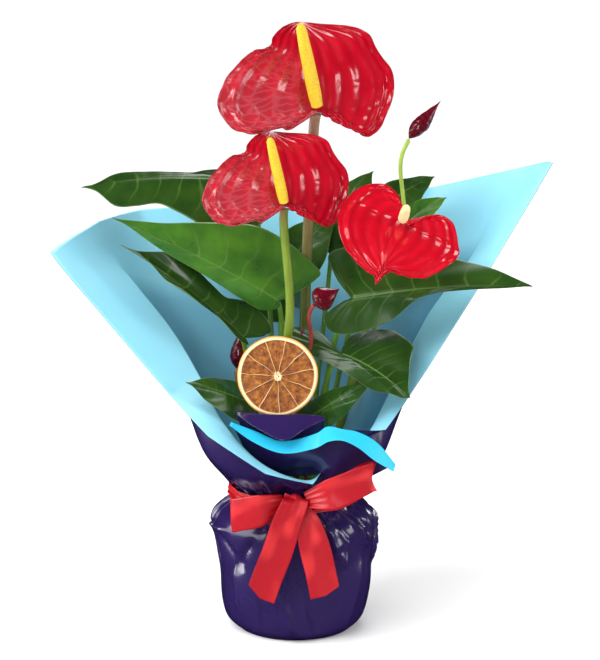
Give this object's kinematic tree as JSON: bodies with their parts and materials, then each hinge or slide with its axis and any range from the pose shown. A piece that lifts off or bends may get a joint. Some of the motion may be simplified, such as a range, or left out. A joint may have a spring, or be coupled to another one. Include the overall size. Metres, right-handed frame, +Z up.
{
  "type": "potted anthurium in a gift wrap",
  "caption": "Potted flowering anthurium in a two-tone film wrap, gathered at the pot's neck with a satin ribbon bow and trimmed with a dried orange slice.",
  "frame": {"origin": "centre of the wrapped pot's flat base, on the surface it stands on", "axes": "+Z up along the pot's axis, -Y towards the front (bow side), +X to the right seen from the front"},
  "size_m": [0.4149, 0.2266, 0.5093],
  "materials": {
    "leaf": "waxy, paler veins",
    "leaf_stalk": "smooth",
    "flower_stalk": "smooth, tan at the head and green below",
    "bud_stalk": "smooth",
    "spathe": "lacquered, raised veins",
    "spadix": "beaded",
    "bud": "waxy",
    "pot": "moulded",
    "soil": "crumbly peat",
    "film": "satin outside, pale blue inside",
    "ribbon": "satin",
    "dried_orange": "dried fruit",
    "pick": "plain"
  },
  "bodies": {
    "root": {"bud_high": "bud", "bud_high_stem": "bud_stalk", "bud_left": "bud", "bud_left_stem": "bud_stalk", "bud_sheath": "bud", "bud_sheath_stem": "bud_stalk", "bud_young": "bud", "bud_young_stem": "bud_stalk", "front_film": "film", "inner_film": "film", "leaf_back_left": "leaf", "leaf_back_mid": "leaf", "leaf_back_right": "leaf", "leaf_centre": "leaf", "leaf_front_left": "leaf", "leaf_front_right": "leaf", "leaf_left": "leaf", "leaf_left_low": "leaf", "leaf_rear": "leaf", "leaf_right": "leaf", "leaf_right_high": "leaf", "leaf_right_low": "leaf", "nursery_pot": "pot", "orange_slice": "dried_orange", "outer_film": "film", "petiole_back_left": "leaf_stalk", "petiole_back_mid": "leaf_stalk", "petiole_back_right": "leaf_stalk", "petiole_centre": "leaf_stalk", "petiole_front_left": "leaf_stalk", "petiole_front_right": "leaf_stalk", "petiole_left": "leaf_stalk", "petiole_left_low": "leaf_stalk", "petiole_rear": "leaf_stalk", "petiole_right": "leaf_stalk", "petiole_right_high": "leaf_stalk", "petiole_right_low": "leaf_stalk", "potting_soil": "soil", "ribbon_band": "ribbon", "ribbon_knot": "ribbon", "ribbon_loop_left": "ribbon", "ribbon_loop_right": "ribbon", "ribbon_tail_left": "ribbon", "ribbon_tail_right": "ribbon", "slice_pick": "pick", "spadix_middle": "spadix", "spadix_right": "spadix", "spadix_top": "spadix", "spathe_middle": "spathe", "spathe_right": "spathe", "spathe_top": "spathe", "stem_middle": "flower_stalk", "stem_right": "flower_stalk", "stem_top": "flower_stalk"}
  },
  "joints": []
}
